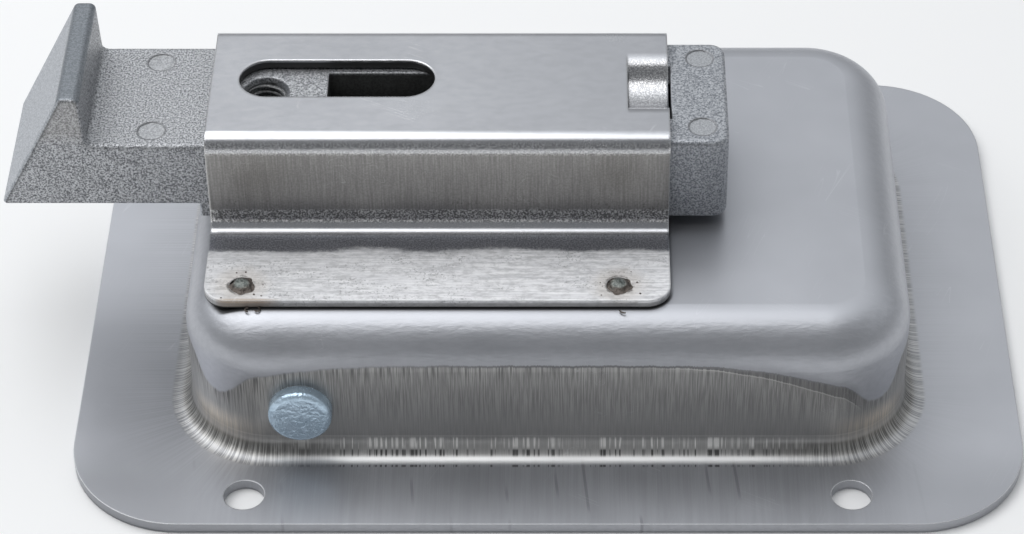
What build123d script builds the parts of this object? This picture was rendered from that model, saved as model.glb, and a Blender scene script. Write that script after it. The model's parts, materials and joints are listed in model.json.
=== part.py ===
from build123d import *
import os
from math import acos, atan2, cos, degrees, hypot, pi, radians, sin, tan

# Toolbox lock: a flush paddle latch whose spring bolt slides in a bracket on the back of its pan.
# Millimetres. The flange's front face lies on z = 0, and +Z points into the toolbox.
# X runs along the bolt, whose nose points to -X. Y runs along the hinge pin.

# Drawn pan and its flange
flange_length = 120.6
flange_width = 88.0
flange_corner = 14.4
pan_sheet = 1.5
pan_length = 91.6
pan_width = 62.2
pan_corner = 11.0
pan_height = 21.2
rim_bend = 2.7
floor_bend = 6.0
mount_hole = 5.1
mount_spacing_x = 76.0
mount_from_edge = 5.1

# Guide bracket, a folded hat section welded on the pan's floor
bolt_line = 0.0
bracket_sheet = 1.2
bracket_left = -42.8
bracket_length = 58.1
bracket_width = 23.6
bracket_height = 15.2
top_bend = 2.1
foot_bend = 1.6
foot_flat = 12.4
foot_corner = 3.0
slot_inset = 3.5
slot_length = 24.9
slot_width = 7.5
slot_offset = 0.9
stop_length = 5.2
stop_radius = 4.9
stop_shoulder = 2.9
stop_depth = 2.9
weld_diameter = 3.0
weld_crown = 0.4
weld_gap = 0.02
weld_from_left = 4.65
weld_from_right = 6.5
weld_from_edge = 2.85

# Slam bolt
bolt_side_gap = 0.4
bolt_top_gap = 0.3
bolt_lift = 1.45
bolt_travel = 12.0
nose_length = 26.6
nose_overlap = 1.5
nose_step = 2.1
nose_top_step = 0.65
wedge_run = 8.8
wedge_height = 7.35
ridge_width = 2.5
ridge_round = 0.8
wedge_root_round = 0.9
wedge_lean = 0.3
tip_round = 0.4
tail_gap = 0.35
tail_length = 7.1
tail_corner = 2.0
bolt_edge = 0.5
pocket_gap = 0.4
thread_radius = 2.55
thread_mouth = 2.95
thread_inset = 3.4
mark_diameter = 3.5
mark_depth = 0.15
mark_spread = 14.0
nose_mark_inset = 7.1
tail_mark_inset = 3.3
rail_height_gap = 0.15
rail_inner = 3.6
rail_width = 3.4
rail_front_length = 15.0
rail_tail_length = 8.6

# Compression spring behind the bolt
spring_diameter = 7.0
spring_wire = 1.1
spring_length = 38.0
spring_turns = 13.5
spring_depth = 5.0
spring_end_gap = 0.1
spring_side_gap = 0.4
wire_sides = 6

# Hinge pin and its clip
hinge_x = -31.0
hinge_z = 9.0
pin_diameter = 5.0
pin_head_diameter = 8.0
pin_head_height = 2.0
pin_head_round = 0.7
pin_tail = 1.6
pin_seat_gap = 0.03
pivot_gap = 0.08
clip_sheet = 0.7
clip_diameter = 9.6
clip_gap = 0.05
clip_mouth = 3.4
groove_depth = 0.5

# Paddle with its lever
paddle_swing = 35.0
paddle_sheet = 1.5
paddle_recess = 1.2
paddle_side_gap = 1.2
paddle_heel = 9.5
paddle_corner = 5.0
heel_corner = 8.0
paddle_bend = 1.6
paddle_inner_bend = 0.6
paddle_rim = 6.8
finger_gap = 20.5
ear_height = 12.8
ear_half_length = 5.5
ear_slope = 7.5
ear_round = 3.0
heel_height = 5.8
lever_thickness = 5.0
lever_arm = 3.6
lever_head = 2.4
lever_hub = 5.5
lever_gap = 0.35
lever_window_gap = 0.8
lever_foot_length = 13.0
lever_foot_width = 14.0
lever_foot_sheet = 1.6

# Torsion spring on the hinge pin
twist_wire = 1.0
twist_radius = 3.7
twist_pitch = 1.2
twist_coils = 4
twist_leg_rise = 35.0
twist_low_leg = 6.0
twist_seat_gap = 0.1

# Key lock in the paddle
lock_x = 2.0
bezel_radius = 9.75
bezel_height = 0.9
barrel_radius = 8.0
barrel_floor_gap = 1.5
barrel_gap = 0.1
plug_radius = 5.5
plug_head_radius = 6.5
plug_head_height = 1.6
plug_gap = 0.05
plug_face_inset = 0.1
plug_neck_radius = 4.4
plug_clip_radius = 6.9
plug_clip_sheet = 0.8
plug_clip_mouth = 6.4
key_width = 1.2
key_height = 8.0
key_depth = 14.5
wafer_count = 5
wafer_sheet = 1.2
wafer_width = 7.0
wafer_first = 2.6
wafer_pitch = 2.5
wafer_window_width = 2.2
wafer_window_height = 6.0
wafer_gap = 0.08
nut_across_flats = 21.0
nut_height = 4.0
nut_gap = 0.05
cam_sheet = 1.2
cam_floor_gap = 0.4
cam_width = 9.0
cam_reach = 8.5
cam_square = 6.0
cam_fit = 0.05
cam_window_gap = 0.6
cam_swing_gap = 2.4
cam_screw_radius = 1.9
cam_screw_head = 3.6
cam_screw_end_gap = 1.1
cam_screw_slot = 0.9
cam_head_height = 1.0
cam_head_gap = 0.3

# Levels and lengths that follow from the values above
floor_inside = pan_height - pan_sheet
wall_inside_x = pan_length / 2 - pan_sheet
mount_spacing_y = flange_width - 2 * mount_from_edge
bracket_right = bracket_left + bracket_length
bracket_half = bracket_width / 2
foot_reach = bracket_half + foot_bend + foot_flat
bracket_top = pan_height + bracket_height
stop_left = bracket_right - stop_length
stop_bend = acos(1 - stop_depth / (stop_radius + stop_shoulder))
stop_half = (stop_radius + stop_shoulder) * sin(stop_bend)
slot_left = bracket_left + slot_inset
slot_middle = slot_left + slot_length / 2
bolt_width = bracket_width - 2 * bracket_sheet - 2 * bolt_side_gap
bolt_top = bracket_top - bracket_sheet - bolt_top_gap
bolt_bottom = pan_height + bolt_lift
bolt_tip = bracket_left - nose_length
pocket_right = bracket_right + tail_gap
pocket_left = stop_left - spring_length - 2 * spring_end_gap
bolt_tail = pocket_right + tail_length
spring_level = bolt_top - spring_depth
half_swing = radians(paddle_swing / 2)
lever_reach = bolt_travel / (2 * sin(half_swing))
lever_tip_x = hinge_x - bolt_travel / 2
lever_tip_z = hinge_z + lever_reach * cos(half_swing)
paddle_inside = paddle_recess + paddle_sheet
paddle_left = hinge_x - paddle_heel
paddle_right = wall_inside_x - finger_gap
paddle_width = pan_width - 2 * pan_sheet - 2 * paddle_side_gap
barrel_end = floor_inside - barrel_floor_gap
barrel_length = barrel_end - paddle_recess
lock_front = paddle_recess - bezel_height
wafer_start = lock_front + plug_head_height + wafer_first
wafer_levels = [wafer_start + wafer_pitch * n for n in range(wafer_count)]
cam_bottom = pan_height + cam_floor_gap
cam_top = cam_bottom + cam_sheet
cam_screw_length = cam_top - wafer_levels[-1] - wafer_sheet - cam_screw_end_gap

weld_offset = foot_reach - weld_from_edge
weld_places = [
    (x, bolt_line + side * weld_offset)
    for x in (bracket_left + weld_from_left, bracket_right - weld_from_right)
    for side in (-1, 1)
]

# Planes that several pieces are drawn on
bolt_side = Plane.XZ.offset(-bolt_line)
floor_below = Plane.XY.offset(floor_inside - pan_sheet)
floor_cut = 3 * pan_sheet


def corners_at(sketch, across, up):
    """The mirrored corners of a section at this distance from its middle and at this height."""
    close = 0.001
    return sketch.vertices().filter_by(
        lambda corner: abs(abs(corner.X) - across) < close and abs(corner.Y - up) < close
    )


def section_at(x, level):
    """A plane across the bolt line at x, with its own Y up from this level."""
    return Plane(origin=(x, bolt_line, level), x_dir=(0, 1, 0), z_dir=(1, 0, 0))


def write(piece, name):
    """Label a finished piece and write it to its own file."""
    piece.label = name
    export_step(piece, f"parts/{name}.step")


os.makedirs("parts", exist_ok=True)


# Pan: one drawn sheet, so every inside bend follows its outside bend by the sheet's thickness
with BuildPart() as recess:
    with BuildSketch():
        RectangleRounded(pan_length - 2 * pan_sheet, pan_width - 2 * pan_sheet, pan_corner - pan_sheet)
    extrude(amount=floor_inside)
    fillet(recess.edges().group_by(Axis.Z)[-1], floor_bend - pan_sheet)

with BuildPart() as pan:
    with BuildSketch():
        RectangleRounded(flange_length, flange_width, flange_corner)
    extrude(amount=pan_sheet)
    with BuildSketch(Plane.XY.offset(pan_sheet)):
        RectangleRounded(pan_length, pan_width, pan_corner)
    extrude(amount=pan_height - pan_sheet)
    fillet(pan.edges(Select.LAST).group_by(Axis.Z)[0], rim_bend)
    fillet(pan.edges().group_by(Axis.Z)[-1], floor_bend)
    add(recess.part, mode=Mode.SUBTRACT)
    mouth = pan.edges().group_by(Axis.Z)[0].filter_by(
        lambda edge: abs(edge.center().X) < pan_length / 2 and abs(edge.center().Y) < pan_width / 2
    )
    fillet(mouth, rim_bend + pan_sheet)
    with GridLocations(mount_spacing_x, mount_spacing_y, 2, 2):
        Hole(mount_hole / 2)
    with BuildSketch(Plane.XZ):
        with Locations((hinge_x, hinge_z)):
            Circle(pin_diameter / 2 + pin_seat_gap)
    extrude(amount=pan_width, both=True, mode=Mode.SUBTRACT)
    # Window for the lever, as long as its swing at the floor
    with BuildSketch(floor_below):
        swing_at_floor = tan(half_swing) * (pan_height - hinge_z)
        window_half = swing_at_floor + lever_arm / (2 * cos(half_swing)) + lever_window_gap
        with Locations((hinge_x, bolt_line)):
            Rectangle(2 * window_half, lever_thickness + 2 * lever_window_gap)
    extrude(amount=floor_cut, mode=Mode.SUBTRACT)
    # Window for the lock's cam, longer towards the free end because the cam leaves on an arc
    with BuildSketch(floor_below):
        cam_window_left = lock_x - cam_reach - cam_window_gap
        cam_window_right = lock_x + cam_width / 2 + cam_swing_gap
        with Locations(((cam_window_left + cam_window_right) / 2, bolt_line)):
            SlotOverall(cam_window_right - cam_window_left, cam_width + 2 * cam_window_gap)
    extrude(amount=floor_cut, mode=Mode.SUBTRACT)
write(pan.part, "pan")


# Guide bracket: hat section, access slot over the bolt's thread, trough pressed down as spring stop
with BuildPart() as guide_bracket:
    with BuildSketch(section_at(bracket_left, pan_height)) as hat:
        with BuildLine():
            Polyline(
                (0, bracket_height),
                (bracket_half, bracket_height),
                (bracket_half, bracket_sheet),
                (foot_reach, bracket_sheet),
                (foot_reach, 0),
                (bracket_half - bracket_sheet, 0),
                (bracket_half - bracket_sheet, bracket_height - bracket_sheet),
                (0, bracket_height - bracket_sheet),
            )
            mirror(about=Plane.YZ)
        make_face()
        inner_half = bracket_half - bracket_sheet
        fillet(corners_at(hat, bracket_half, bracket_height), top_bend)
        fillet(corners_at(hat, inner_half, bracket_height - bracket_sheet), top_bend - bracket_sheet)
        fillet(corners_at(hat, bracket_half, bracket_sheet), foot_bend)
        fillet(corners_at(hat, inner_half, 0), foot_bend + bracket_sheet)
    extrude(amount=bracket_length)
    foot_ends = guide_bracket.edges().filter_by(Axis.Z)
    fillet(foot_ends.group_by(Axis.Y)[0] + foot_ends.group_by(Axis.Y)[-1], foot_corner)
    with BuildSketch(Plane.XY.offset(bracket_top)):
        with Locations((slot_middle, bolt_line + slot_offset)):
            SlotOverall(slot_length, slot_width)
    extrude(amount=-2 * bracket_sheet, mode=Mode.SUBTRACT)
    # Trough: the plate's end is cut out, and the sheet goes on over a shoulder, down and up again
    with BuildSketch(section_at(stop_left, bracket_top)):
        Rectangle(2 * stop_half, bracket_sheet, align=(Align.CENTER, Align.MAX))
    extrude(amount=stop_length, mode=Mode.SUBTRACT)
    with BuildSketch(section_at(stop_left, bracket_top)):
        with BuildLine():
            bend = degrees(stop_bend)
            for radius, shoulder in (
                (stop_radius, stop_shoulder),
                (stop_radius + bracket_sheet, stop_shoulder - bracket_sheet),
            ):
                CenterArc((-stop_half, -stop_shoulder), shoulder, 90 - bend, bend)
                CenterArc((0, stop_radius - stop_depth), radius, 270 - bend, 2 * bend)
                CenterArc((stop_half, -stop_shoulder), shoulder, 90, bend)
            for side in (-stop_half, stop_half):
                Line((side, 0), (side, -bracket_sheet))
        make_face()
    extrude(amount=stop_length)
    with BuildSketch(Plane.XY.offset(pan_height)):
        with Locations(*weld_places):
            Circle(weld_diameter / 2)
    extrude(amount=2 * bracket_sheet, mode=Mode.SUBTRACT)
write(guide_bracket.part, "guide_bracket")


# Plug welds: each fills a hole in the bracket's foot and stands a little proud of it
with BuildPart() as plug_welds:
    with BuildSketch(Plane.XY.offset(pan_height)):
        with Locations(*weld_places):
            Circle(weld_diameter / 2 - weld_gap)
    extrude(amount=bracket_sheet + weld_crown)
    fillet(plug_welds.edges().group_by(Axis.Z)[-1], weld_crown)
write(plug_welds.part, "plug_welds")


# Slam bolt: die casting with a wedge nose, drawn from the side and cut by its pockets
with BuildPart() as slam_bolt:
    nose_top = bolt_top - nose_top_step
    wedge_top = nose_top + wedge_height
    ridge_left = bolt_tip + wedge_run
    ridge_right = ridge_left + ridge_width
    nose_bottom = bolt_bottom + nose_step
    body_left = bracket_left - nose_overlap
    top_step_x = bracket_left + nose_overlap
    with BuildSketch(bolt_side) as side_view:
        with BuildLine():
            Polyline(
                (bolt_tip, nose_bottom),
                (body_left, nose_bottom),
                (body_left, bolt_bottom),
                (bolt_tail, bolt_bottom),
                (bolt_tail, bolt_top),
                (top_step_x, bolt_top),
                (top_step_x - nose_top_step, nose_top),
                (ridge_right + wedge_lean, nose_top),
                (ridge_right, wedge_top),
                (ridge_left, wedge_top),
                close=True,
            )
        make_face()
        fillet(side_view.vertices().group_by(Axis.Y)[-1], ridge_round)
        wedge_root = (ridge_right + wedge_lean, nose_top)
        fillet(side_view.vertices().sort_by_distance(wedge_root)[0], wedge_root_round)
        fillet(side_view.vertices().sort_by_distance((bolt_tip, nose_bottom))[0], tip_round)
    extrude(amount=bolt_width / 2, both=True)
    fillet(slam_bolt.edges().filter_by(Axis.Z).group_by(Axis.X)[-1], tail_corner)
    bolt_sides = slam_bolt.faces().filter_by(Plane.XZ)
    fillet(bolt_sides.edges(), bolt_edge)
    # Channel for the spring, widened where the bracket's trough passes along it
    with BuildSketch(section_at(pocket_left, spring_level)):
        channel_half = spring_diameter / 2 + spring_side_gap
        Circle(channel_half)
        Rectangle(2 * channel_half, 2 * spring_depth, align=(Align.CENTER, Align.MIN))
    extrude(amount=pocket_right - pocket_left, mode=Mode.SUBTRACT)
    trough_way = stop_left - bolt_travel - pocket_gap
    with BuildSketch(section_at(trough_way, bracket_top)):
        with Locations((0, stop_radius - stop_depth)):
            Circle(stop_radius + bracket_sheet + pocket_gap)
    extrude(amount=pocket_right - trough_way, mode=Mode.SUBTRACT)
    # Pocket for the lever's head, long enough for the bolt to slam in while the lever stays
    lever_wall_right = lever_tip_x + lever_head + lever_gap
    lever_wall_left = lever_tip_x - lever_head - lever_gap - bolt_travel
    lever_roof = hinge_z + lever_reach + lever_head + lever_gap
    with BuildSketch(Plane.XY.offset(lever_roof)):
        with Locations(((lever_wall_left + lever_wall_right) / 2, bolt_line)):
            Rectangle(lever_wall_right - lever_wall_left, lever_thickness + 2 * lever_gap)
    extrude(amount=pan_height - lever_roof, mode=Mode.SUBTRACT)
    # Wider mouth of that pocket, because the lever's arm leans across it
    arm_middle = hinge_x - tan(half_swing) * (bolt_bottom - hinge_z)
    mouth_right = arm_middle + lever_arm / (2 * cos(half_swing)) + lever_gap
    mouth_roof = lever_tip_z - lever_arm / 2
    with BuildSketch(Plane.XY.offset(mouth_roof)):
        with Locations(((lever_wall_left + mouth_right) / 2, bolt_line)):
            Rectangle(mouth_right - lever_wall_left, lever_thickness + 2 * lever_gap)
    extrude(amount=pan_height - mouth_roof, mode=Mode.SUBTRACT)
    # Hollow over the lock's cam, longer by the bolt's travel
    cam_room_left = lock_x - cam_reach - bolt_travel - cam_window_gap
    cam_room_right = lock_x + cam_reach + cam_window_gap
    cam_room_roof = cam_top + cam_head_height + cam_head_gap
    with BuildSketch(Plane.XY.offset(pan_height)):
        with Locations(((cam_room_left + cam_room_right) / 2, bolt_line)):
            Rectangle(cam_room_right - cam_room_left, 2 * (cam_reach + cam_window_gap))
    extrude(amount=cam_room_roof - pan_height, mode=Mode.SUBTRACT)
    # Rails that carry the bolt on the pan's floor, ahead of the lock's cam and behind it
    rail_bottom = pan_height + rail_height_gap
    with BuildSketch(Plane.XY.offset(rail_bottom)):
        for start, length in (
            (body_left, rail_front_length),
            (bolt_tail - tail_corner / 2 - rail_tail_length, rail_tail_length),
        ):
            for side in (-1, 1):
                with Locations((start + length / 2, bolt_line + side * (rail_inner + rail_width / 2))):
                    RectangleRounded(length, rail_width, rail_width / 3)
    extrude(amount=bolt_bottom - rail_bottom)
    # Threaded hole for a pull rod, under the bracket's slot
    with BuildSketch(Plane.XY.offset(bolt_top)):
        with Locations((slot_left + thread_inset, bolt_line)):
            Circle(thread_radius)
    extrude(amount=lever_roof - bolt_top, mode=Mode.SUBTRACT)
    chamfer(slam_bolt.edges(Select.LAST).group_by(Axis.Z)[-1], thread_mouth - thread_radius)
    # Ejector marks on the top
    for mark_x, mark_level in (
        (bracket_left - nose_mark_inset, nose_top),
        (bolt_tail - tail_mark_inset, bolt_top),
    ):
        with BuildSketch(Plane.XY.offset(mark_level)):
            with Locations((mark_x, bolt_line)):
                with GridLocations(1, mark_spread, 1, 2):
                    Circle(mark_diameter / 2)
        extrude(amount=-mark_depth, mode=Mode.SUBTRACT)
write(slam_bolt.part, "slam_bolt")


# Compression spring between the bolt's pocket and the bracket's trough, ends ground flat
with BuildPart() as bolt_spring:
    coil_radius = (spring_diameter - spring_wire) / 2
    spring_start = pocket_left + spring_end_gap
    spring_seat = Plane(
        origin=(spring_start, bolt_line, spring_level), x_dir=(0, 0, -1), z_dir=(1, 0, 0)
    )
    with BuildLine() as coil:
        add(
            Helix(
                spring_length / spring_turns, spring_length, coil_radius, mode=Mode.PRIVATE
            ).moved(spring_seat.location)
        )
    with BuildSketch(Plane(origin=coil.line @ 0, z_dir=coil.line % 0)):
        RegularPolygon(spring_wire / 2, wire_sides)
    sweep(is_frenet=True)
    split(bisect_by=Plane.YZ.offset(spring_start), keep=Keep.TOP)
    split(bisect_by=Plane.YZ.offset(spring_start + spring_length), keep=Keep.BOTTOM)
write(bolt_spring.part, "bolt_spring")


# Hinge pin: head on the near wall, groove for the clip outside the far wall
with BuildPart() as hinge_pin:
    pin_axis = Axis((hinge_x, 0, hinge_z), (0, 1, 0))
    wall = pan_width / 2
    groove_start = wall + clip_gap
    groove_end = groove_start + clip_sheet + 2 * clip_gap
    pin_radius = pin_diameter / 2
    groove_radius = pin_radius - groove_depth
    with BuildSketch(Plane(origin=(hinge_x, 0, hinge_z))):
        with BuildLine():
            Polyline(
                (0, -wall - pin_head_height),
                (pin_head_diameter / 2, -wall - pin_head_height),
                (pin_head_diameter / 2, -wall),
                (pin_radius, -wall),
                (pin_radius, groove_start),
                (groove_radius, groove_start),
                (groove_radius, groove_end),
                (pin_radius, groove_end),
                (pin_radius, wall + pin_tail),
                (0, wall + pin_tail),
                close=True,
            )
        make_face()
    revolve(axis=pin_axis)
    fillet(hinge_pin.edges().group_by(Axis.Y)[0], pin_head_round)
    chamfer(hinge_pin.edges().group_by(Axis.Y)[-1], groove_depth / 2)
write(hinge_pin.part, "hinge_pin")


# Clip: a ring with a mouth, pushed into the pin's groove
with BuildPart() as pin_clip:
    with BuildSketch(Plane.XZ.offset(-groove_start - clip_gap)):
        with Locations((hinge_x, hinge_z)):
            Circle(clip_diameter / 2)
            Circle(groove_radius + clip_gap, mode=Mode.SUBTRACT)
        with Locations((hinge_x, hinge_z - clip_diameter / 2)):
            Rectangle(clip_mouth, clip_diameter, mode=Mode.SUBTRACT)
    extrude(amount=-clip_sheet)
write(pin_clip.part, "pin_clip")


# Paddle: one pressed tray with two ears for the pin and a rim along its free end
with BuildPart() as paddle:
    paddle_middle = (paddle_left + paddle_right) / 2
    with BuildSketch(Plane.XY.offset(paddle_recess)) as paddle_plan:
        with Locations((paddle_middle, 0)):
            Rectangle(paddle_right - paddle_left, paddle_width)
        fillet(paddle_plan.vertices().group_by(Axis.X)[-1], paddle_corner)
        fillet(paddle_plan.vertices().group_by(Axis.X)[0], heel_corner)
    extrude(amount=ear_height)
    with BuildSketch(Plane.XZ) as paddle_side:
        with BuildLine():
            Polyline(
                (paddle_left, paddle_recess),
                (paddle_right, paddle_recess),
                (paddle_right, paddle_recess + paddle_rim),
                (hinge_x + ear_half_length + ear_slope, paddle_recess + paddle_rim),
                (hinge_x + ear_half_length, paddle_recess + ear_height),
                (hinge_x - ear_half_length, paddle_recess + ear_height),
                (paddle_left, paddle_recess + heel_height),
                close=True,
            )
        make_face()
        fillet(paddle_side.vertices().group_by(Axis.Y)[-1], ear_round)
    extrude(amount=paddle_width, both=True, mode=Mode.INTERSECT)
    fillet(paddle.faces().sort_by(Axis.Z)[0].edges(), paddle_bend)
    with BuildSketch(Plane.XY.offset(paddle_inside)):
        offset(paddle_plan.sketch_local, amount=-paddle_sheet)
    extrude(amount=ear_height, mode=Mode.SUBTRACT)
    fillet(paddle.edges().filter_by_position(Axis.Z, paddle_inside, paddle_inside), paddle_inner_bend)
    with BuildSketch(Plane.XZ):
        with Locations((hinge_x, hinge_z)):
            Circle(pin_radius + pivot_gap)
    extrude(amount=paddle_width, both=True, mode=Mode.SUBTRACT)
    with BuildSketch(Plane.XY.offset(paddle_recess)):
        with Locations((lock_x, bolt_line)):
            Circle(barrel_radius + barrel_gap)
    extrude(amount=paddle_sheet, mode=Mode.SUBTRACT)
write(paddle.part, "paddle")


# Lever: hub on the pin, foot on the paddle, arm through the floor with a round head in the bolt
with BuildPart() as paddle_lever:
    with BuildSketch(bolt_side):
        with Locations((hinge_x, hinge_z), (lever_tip_x, lever_tip_z)):
            Circle(lever_arm / 2)
        make_hull()
        with Locations((lever_tip_x, lever_tip_z)):
            Circle(lever_head)
        with Locations((hinge_x, hinge_z)):
            Circle(lever_hub)
        with Locations((hinge_x, (hinge_z + paddle_inside) / 2)):
            Rectangle(2 * lever_hub, hinge_z - paddle_inside)
        with Locations((hinge_x, hinge_z)):
            Circle(pin_radius + pivot_gap, mode=Mode.SUBTRACT)
    extrude(amount=lever_thickness / 2, both=True)
    with BuildSketch(Plane.XY.offset(paddle_inside)):
        with Locations((hinge_x, bolt_line)):
            RectangleRounded(lever_foot_length, lever_foot_width, lever_foot_sheet)
    extrude(amount=lever_foot_sheet)
write(paddle_lever.part, "paddle_lever")


# Torsion spring: coils round the pin beside the lever, one leg on the foot, one under the floor
with BuildPart() as paddle_spring:
    twist_start_y = bolt_line + lever_thickness / 2 + twist_wire
    wire_standoff = twist_wire / 2 + twist_seat_gap
    low_seat = hinge_z - (paddle_inside + lever_foot_sheet + wire_standoff)
    high_seat = floor_inside - wire_standoff - hinge_z
    drop = atan2(twist_low_leg, twist_radius) - acos(low_seat / hypot(twist_low_leg, twist_radius))
    rise = radians(twist_leg_rise)
    twist_high_leg = (high_seat - twist_radius * cos(rise)) / sin(rise)
    turns = twist_coils + (pi - rise - drop) / (2 * pi)
    start = Plane(
        origin=(hinge_x, twist_start_y, hinge_z), x_dir=(sin(drop), 0, -cos(drop)), z_dir=(0, 1, 0)
    )
    with BuildLine() as twist:
        add(
            Helix(
                twist_pitch, twist_pitch * turns, twist_radius, lefthand=True, mode=Mode.PRIVATE
            ).moved(start.location)
        )
    with BuildSketch(Plane(origin=twist.line @ 0, z_dir=twist.line % 0)):
        RegularPolygon(twist_wire / 2, wire_sides)
    sweep(is_frenet=True)
    wire_ends = paddle_spring.faces().filter_by(GeomType.PLANE).sort_by(Axis.Y)
    extrude(wire_ends[0], amount=twist_low_leg)
    extrude(wire_ends[-1], amount=twist_high_leg)
write(paddle_spring.part, "paddle_spring")


# Lock housing: bezel on the paddle's front and a barrel through it
with BuildPart() as lock_housing:
    with BuildSketch(Plane.XY.offset(lock_front)):
        with Locations((lock_x, bolt_line)):
            Circle(bezel_radius)
    extrude(amount=bezel_height)
    with BuildSketch(Plane.XY.offset(paddle_recess)):
        with Locations((lock_x, bolt_line)):
            Circle(barrel_radius)
    extrude(amount=barrel_length)
    with BuildSketch(Plane.XY.offset(lock_front)):
        with Locations((lock_x, bolt_line)):
            Circle(plug_radius)
    extrude(amount=bezel_height + barrel_length, mode=Mode.SUBTRACT)
    with BuildSketch(Plane.XY.offset(lock_front)):
        with Locations((lock_x, bolt_line)):
            Circle(plug_head_radius)
    extrude(amount=plug_head_height, mode=Mode.SUBTRACT)
    chamfer(lock_housing.faces().sort_by(Axis.Z)[0].edges().sort_by(SortBy.RADIUS)[-1], bezel_height / 2)
write(lock_housing.part, "lock_housing")


# Nut that clamps the housing from behind the paddle
with BuildPart() as lock_nut:
    with BuildSketch(Plane.XY.offset(paddle_inside)):
        with Locations((lock_x, bolt_line)):
            RegularPolygon(nut_across_flats / 2, 6, major_radius=False)
            Circle(barrel_radius + nut_gap, mode=Mode.SUBTRACT)
    extrude(amount=nut_height)
write(lock_nut.part, "lock_nut")


# Plug with its keyway, wafer slots and the square tail that drives the cam
with BuildPart() as lock_plug:
    with BuildSketch(Plane.XY.offset(lock_front + plug_face_inset)):
        with Locations((lock_x, bolt_line)):
            Circle(plug_head_radius - plug_gap)
    extrude(amount=plug_head_height - plug_face_inset - plug_gap)
    with BuildSketch(Plane.XY.offset(lock_front + plug_face_inset)):
        with Locations((lock_x, bolt_line)):
            Circle(plug_radius - plug_gap)
    extrude(amount=barrel_end - lock_front - plug_face_inset)
    with BuildSketch(Plane.XY.offset(barrel_end)):
        with Locations((lock_x, bolt_line)):
            Circle(plug_neck_radius)
    extrude(amount=cam_bottom - barrel_end)
    with BuildSketch(Plane.XY.offset(barrel_end)):
        with Locations((lock_x, bolt_line)):
            Circle(plug_neck_radius)
            Circle(plug_neck_radius - groove_depth, mode=Mode.SUBTRACT)
    extrude(amount=plug_clip_sheet + 2 * clip_gap, mode=Mode.SUBTRACT)
    with BuildSketch(Plane.XY.offset(cam_bottom)):
        with Locations((lock_x, bolt_line)):
            Rectangle(cam_square, cam_square)
    extrude(amount=cam_sheet - cam_fit)
    with BuildSketch(Plane.XY.offset(lock_front)):
        with Locations((lock_x, bolt_line)):
            Rectangle(key_width, key_height)
    extrude(amount=key_depth, mode=Mode.SUBTRACT)
    for level in wafer_levels:
        with BuildSketch(Plane.XY.offset(level - wafer_gap)):
            with Locations((lock_x, bolt_line)):
                Rectangle(wafer_width + 2 * wafer_gap, 2 * plug_radius)
        extrude(amount=wafer_sheet + 2 * wafer_gap, mode=Mode.SUBTRACT)
    with BuildSketch(Plane.XY.offset(cam_top)):
        with Locations((lock_x, bolt_line)):
            Circle(cam_screw_radius + cam_fit)
    extrude(amount=-cam_screw_length - cam_fit, mode=Mode.SUBTRACT)
write(lock_plug.part, "lock_plug")


# Wafers, drawn in to the plug's circle as a key holds them
with BuildPart() as lock_wafers:
    for level in wafer_levels:
        with BuildSketch(Plane.XY.offset(level)):
            with Locations((lock_x, bolt_line)):
                Circle(plug_radius - 2 * plug_gap)
                Rectangle(wafer_width, 2 * plug_radius, mode=Mode.INTERSECT)
                Rectangle(wafer_window_width, wafer_window_height, mode=Mode.SUBTRACT)
        extrude(amount=wafer_sheet)
write(lock_wafers.part, "lock_wafers")


# Clip in the groove behind the barrel, which keeps the plug from sliding out of the front
with BuildPart() as plug_clip:
    with BuildSketch(Plane.XY.offset(barrel_end + clip_gap)):
        with Locations((lock_x, bolt_line)):
            Circle(plug_clip_radius)
            Circle(plug_neck_radius - groove_depth + clip_gap, mode=Mode.SUBTRACT)
        with Locations((lock_x, bolt_line + plug_clip_radius)):
            Rectangle(plug_clip_mouth, 2 * plug_clip_radius, mode=Mode.SUBTRACT)
    extrude(amount=plug_clip_sheet)
write(plug_clip.part, "plug_clip")


# Cam that turns behind the floor, beside its window
with BuildPart() as lock_cam:
    with BuildSketch(Plane.XY.offset(cam_bottom)):
        with Locations((lock_x - (cam_reach - cam_width / 2) / 2, bolt_line)):
            SlotOverall(cam_reach + cam_width / 2, cam_width)
        with Locations((lock_x, bolt_line)):
            Rectangle(cam_square + 2 * cam_fit, cam_square + 2 * cam_fit, mode=Mode.SUBTRACT)
    extrude(amount=cam_sheet)
write(lock_cam.part, "lock_cam")


# Screw that holds the cam on the plug's tail
with BuildPart() as cam_screw:
    with BuildSketch(Plane.XY.offset(cam_top)):
        with Locations((lock_x, bolt_line)):
            Circle(cam_screw_head)
    extrude(amount=cam_head_height)
    with BuildSketch(Plane.XY.offset(cam_top)):
        with Locations((lock_x, bolt_line)):
            Circle(cam_screw_radius)
    extrude(amount=-cam_screw_length)
    with BuildSketch(Plane.XY.offset(cam_top + cam_head_height)):
        with Locations((lock_x, bolt_line)):
            Rectangle(2 * cam_screw_head, cam_screw_slot)
    extrude(amount=-cam_head_height / 2, mode=Mode.SUBTRACT)
write(cam_screw.part, "cam_screw")
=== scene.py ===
"""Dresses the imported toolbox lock: its metal finishes, springs, thread and welds, light and camera."""
import json
import math

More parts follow.
